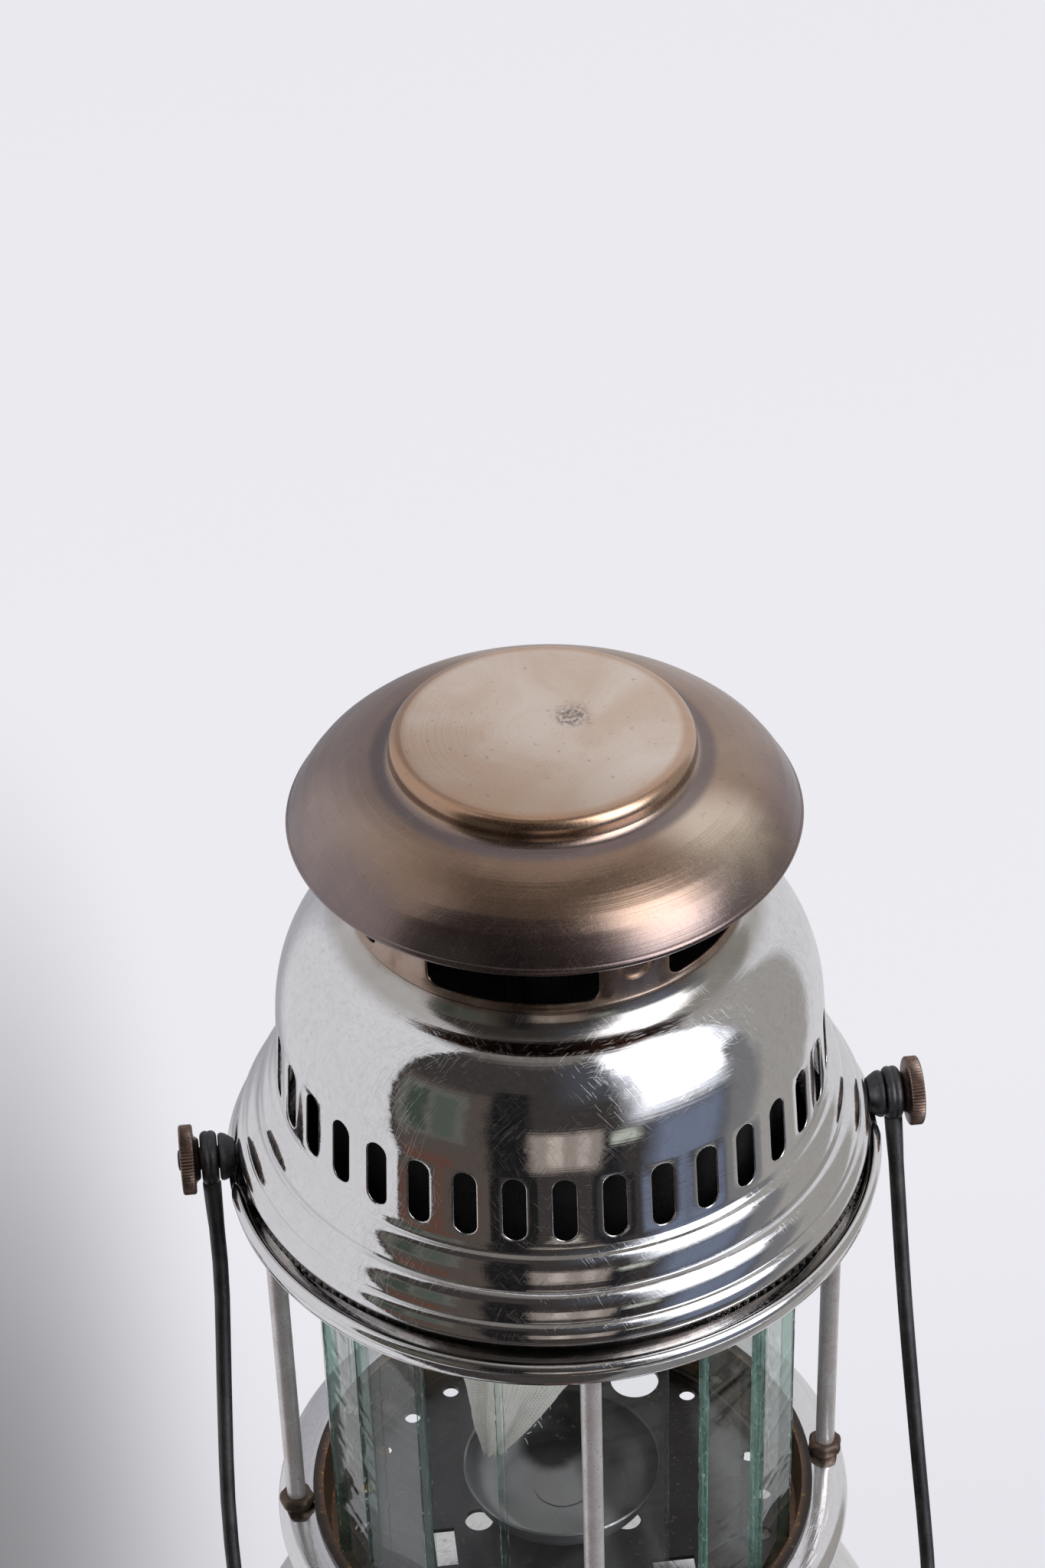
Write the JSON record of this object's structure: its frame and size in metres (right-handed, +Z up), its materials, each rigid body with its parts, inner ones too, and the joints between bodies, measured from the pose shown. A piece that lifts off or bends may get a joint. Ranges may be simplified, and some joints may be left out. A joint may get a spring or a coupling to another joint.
{
  "type": "pressure lantern",
  "caption": "Kerosene pressure lantern: round tank with pump and gauge, caged glass strips round a cloth mantle, slotted hood with cap, wire bail.",
  "frame": {"origin": "centre of the foot ring on the ground plane, under the lantern's axis", "axes": "+Z up along the lantern's axis, -Y towards the front, where the control wheel is, +X to the lantern's right-hand bail stud seen from the front"},
  "size_m": [0.1805, 0.1715, 0.37],
  "materials": {
    "tank_metal": "bright chrome plate on brass",
    "foot_metal": "dark enamel",
    "fitting_brass": "dull brass",
    "cap_nickel": "nickel plate",
    "gasket_rubber": "black fuel-proof rubber",
    "dial_enamel": "white enamel with black marks",
    "pointer_paint": "black paint",
    "lens_glass": "clear",
    "steel_bare": "bare turned steel",
    "knob_plastic": "black moulded",
    "leather_brown": "oiled",
    "wheel_paint": "red enamel",
    "pan_metal": "dark heat-stained nickel over brass",
    "burner_metal": "heat-scaled steel",
    "nozzle_ceramic": "unglazed",
    "mantle_cloth": "off-white knitted cloth",
    "hood_chrome": "polished with fine scratches and copper stains",
    "cap_stained": "nickel stained by heat, brown to purple",
    "frame_nickel": "dull nickel",
    "nut_rusty": "rusty brown",
    "bail_steel": "blackened wire",
    "knurl_bronze": "brown bronze",
    "strip_glass": "clear with green edges"
  },
  "bodies": {
    "frame": {"fount": "tank_metal", "foot_ring": "foot_metal", "pump_barrel": "fitting_brass", "pump_cap": "cap_nickel", "check_valve": "fitting_brass", "valve_body": "fitting_brass", "packing_nut": "fitting_brass", "spirit_cup": "pan_metal", "vaporiser_tube": "fitting_brass", "jet_nipple": "fitting_brass", "mixing_tube": "burner_metal", "burner_crown": "burner_metal", "ceramic_nozzle": "nozzle_ceramic", "mantle": "mantle_cloth", "inner_chimney": "burner_metal", "gallery_ring": "hood_chrome", "base_ring": "hood_chrome", "base_plate": "pan_metal", "post_nuts": "nut_rusty", "bail_stud_left": "bail_steel", "bail_stud_right": "bail_steel", "frame_post_1": "frame_nickel", "frame_post_2": "frame_nickel", "frame_post_3": "frame_nickel", "frame_post_4": "frame_nickel", "glass_strip_01": "strip_glass", "glass_strip_02": "strip_glass", "glass_strip_03": "strip_glass", "glass_strip_04": "strip_glass", "glass_strip_05": "strip_glass", "glass_strip_06": "strip_glass", "glass_strip_07": "strip_glass", "glass_strip_08": "strip_glass", "glass_strip_09": "strip_glass", "glass_strip_10": "strip_glass", "glass_strip_11": "strip_glass", "glass_strip_12": "strip_glass", "glass_strip_13": "strip_glass", "glass_strip_14": "strip_glass", "glass_strip_15": "strip_glass", "glass_strip_16": "strip_glass", "glass_strip_17": "strip_glass"},
    "hood": {"hood": "hood_chrome", "hood_cap": "cap_stained"},
    "bail": {"bail": "bail_steel"},
    "nut_left": {"bail_nut_left": "knurl_bronze"},
    "nut_right": {"bail_nut_right": "knurl_bronze"},
    "control": {"control_wheel": "wheel_paint", "control_spindle": "steel_bare"},
    "needle": {"cleaning_needle": "steel_bare"},
    "pump": {"pump_rod": "steel_bare", "pump_knob": "knob_plastic", "pump_leather": "leather_brown"},
    "filler": {"filler_cap": "cap_nickel", "filler_gasket": "gasket_rubber", "gauge_dial": "dial_enamel", "gauge_lens": "lens_glass"},
    "pointer": {"gauge_pointer": "pointer_paint"},
    "release": {"release_screw": "fitting_brass"}
  },
  "joints": [
    {"name": "bail_swing", "type": "hinge", "parent": "frame", "child": "bail", "pos_m": [0, 0, 0.2618], "axis": [-1, 0, 0], "range_deg": [0, 309]},
    {"name": "hood_lift", "type": "slide", "parent": "frame", "child": "hood", "axis": [0, 0, 1], "range_m": [0, 0.08]},
    {"name": "bail_nut_left_turn", "type": "hinge", "parent": "frame", "child": "nut_left", "pos_m": [-0.081, 0, 0.2618], "axis": [-1, 0, 0], "continuous": true},
    {"name": "bail_nut_right_turn", "type": "hinge", "parent": "frame", "child": "nut_right", "pos_m": [0.081, 0, 0.2618], "axis": [1, 0, 0], "continuous": true},
    {"name": "wheel_turn", "type": "hinge", "parent": "frame", "child": "control", "pos_m": [0, -0.085, 0.118], "axis": [0, -1, 0], "range_deg": [0, 180]},
    {"name": "needle_lift", "type": "slide", "parent": "frame", "child": "needle", "axis": [0, 0, 1], "range_m": [0, 0.002]},
    {"name": "pump_stroke", "type": "slide", "parent": "frame", "child": "pump", "axis": [0.6409, -0.2988, 0.7071], "range_m": [0, 0.055]},
    {"name": "filler_cap_lift", "type": "slide", "parent": "frame", "child": "filler", "axis": [-0.6645, -0.2418, 0.7071], "range_m": [0, 0.025]},
    {"name": "gauge_pointer_turn", "type": "hinge", "parent": "filler", "child": "pointer", "pos_m": [-0.08127, -0.02958, 0.10098], "axis": [0.6645, 0.2418, -0.7071], "range_deg": [0, 240]},
    {"name": "release_screw_turn", "type": "hinge", "parent": "filler", "child": "release", "pos_m": [-0.07433, -0.04408, 0.09943], "axis": [0.342, -0.9397, 0], "continuous": true}
  ],
  "couplings": [
    {"joint": "needle_lift", "follows": "wheel_turn", "m_per_rad": 0.00063662}
  ]
}
